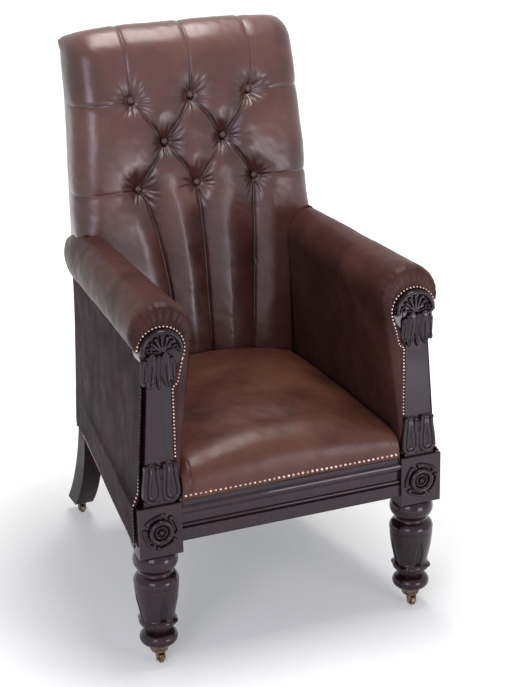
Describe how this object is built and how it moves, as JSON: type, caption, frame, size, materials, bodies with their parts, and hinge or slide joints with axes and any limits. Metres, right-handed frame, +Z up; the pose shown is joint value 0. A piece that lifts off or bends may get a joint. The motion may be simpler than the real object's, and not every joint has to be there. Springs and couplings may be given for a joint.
{
  "type": "library armchair",
  "caption": "Leather library armchair with rolled padded arms, a deep-buttoned back, carved dark-wood front legs, sabre rear legs and swivelling casters.",
  "frame": {"origin": "on the floor, at the middle of the chair's width and depth", "axes": "-Y is the way the chair faces, +Z up, +X towards the viewer's right when looking at its front"},
  "size_m": [0.6396, 0.785, 1.1383],
  "materials": {
    "show_wood": "near-black polished mahogany",
    "frame_wood": "plain sawn beech, hidden inside",
    "leather": "aged reddish-brown hide, satin",
    "side_leather": "aged grey-brown hide, satin",
    "brass": "worn coppery brass",
    "steel": "dull drawn steel",
    "webbing": "jute weave",
    "stuffing": "curled hair in scrim",
    "dust_cover": "black cambric"
  },
  "bodies": {
    "chair": {"front_leg_left": "show_wood", "front_leg_right": "show_wood", "roundel_left": "show_wood", "roundel_right": "show_wood", "rear_leg_left": "show_wood", "rear_leg_right": "show_wood", "arm_facing_left": "show_wood", "arm_facing_right": "show_wood", "arm_fan_left": "show_wood", "arm_fan_right": "show_wood", "leaf_capital_left": "show_wood", "leaf_capital_right": "show_wood", "leaf_base_left": "show_wood", "leaf_base_right": "show_wood", "front_rail": "show_wood", "side_rail_left": "frame_wood", "side_rail_right": "frame_wood", "arm_rail_left": "frame_wood", "arm_rail_right": "frame_wood", "rear_rail": "frame_wood", "corner_blocks": "frame_wood", "crest_rail": "frame_wood", "lower_back_rail": "frame_wood", "arm_pad_left": "leather", "arm_pad_right": "leather", "seat_cushion": "leather", "back_cushion": "leather", "back_buttons": "leather", "outside_arm_left": "side_leather", "outside_arm_right": "side_leather", "outside_back": "side_leather", "seat_webbing": "webbing", "back_webbing": "webbing", "seat_hessian": "webbing", "seat_stuffing": "stuffing", "dust_cover": "dust_cover", "seat_springs": "steel", "arm_nails_left": "brass", "arm_nails_right": "brass", "side_nails_left": "brass", "side_nails_right": "brass", "seat_nails": "brass", "caster_cup_left": "brass", "caster_cup_right": "brass", "caster_plate_left": "brass", "caster_plate_right": "brass"},
    "caster_front_left": {"caster_yoke_front_left": "brass", "caster_axle_front_left": "steel"},
    "wheel_front_left": {"caster_wheel_front_left": "brass"},
    "caster_front_right": {"caster_yoke_front_right": "brass", "caster_axle_front_right": "steel"},
    "wheel_front_right": {"caster_wheel_front_right": "brass"},
    "caster_rear_left": {"caster_yoke_rear_left": "brass", "caster_axle_rear_left": "steel"},
    "wheel_rear_left": {"caster_wheel_rear_left": "brass"},
    "caster_rear_right": {"caster_yoke_rear_right": "brass", "caster_axle_rear_right": "steel"},
    "wheel_rear_right": {"caster_wheel_rear_right": "brass"}
  },
  "joints": [
    {"name": "swivel_front_left", "type": "hinge", "parent": "chair", "child": "caster_front_left", "pos_m": [-0.272, -0.3435, 0.025], "axis": [0, 0, 1], "continuous": true},
    {"name": "roll_front_left", "type": "hinge", "parent": "caster_front_left", "child": "wheel_front_left", "pos_m": [-0.272, -0.3495, 0.01], "axis": [1, 0, 0], "continuous": true},
    {"name": "swivel_front_right", "type": "hinge", "parent": "chair", "child": "caster_front_right", "pos_m": [0.272, -0.3435, 0.025], "axis": [0, 0, 1], "continuous": true},
    {"name": "roll_front_right", "type": "hinge", "parent": "caster_front_right", "child": "wheel_front_right", "pos_m": [0.272, -0.3495, 0.01], "axis": [1, 0, 0], "continuous": true},
    {"name": "swivel_rear_left", "type": "hinge", "parent": "chair", "child": "caster_rear_left", "pos_m": [-0.207, 0.3675, 0.025], "axis": [0, 0, 1], "continuous": true},
    {"name": "roll_rear_left", "type": "hinge", "parent": "caster_rear_left", "child": "wheel_rear_left", "pos_m": [-0.207, 0.3615, 0.01], "axis": [1, 0, 0], "continuous": true},
    {"name": "swivel_rear_right", "type": "hinge", "parent": "chair", "child": "caster_rear_right", "pos_m": [0.207, 0.3675, 0.025], "axis": [0, 0, 1], "continuous": true},
    {"name": "roll_rear_right", "type": "hinge", "parent": "caster_rear_right", "child": "wheel_rear_right", "pos_m": [0.207, 0.3615, 0.01], "axis": [1, 0, 0], "continuous": true}
  ]
}
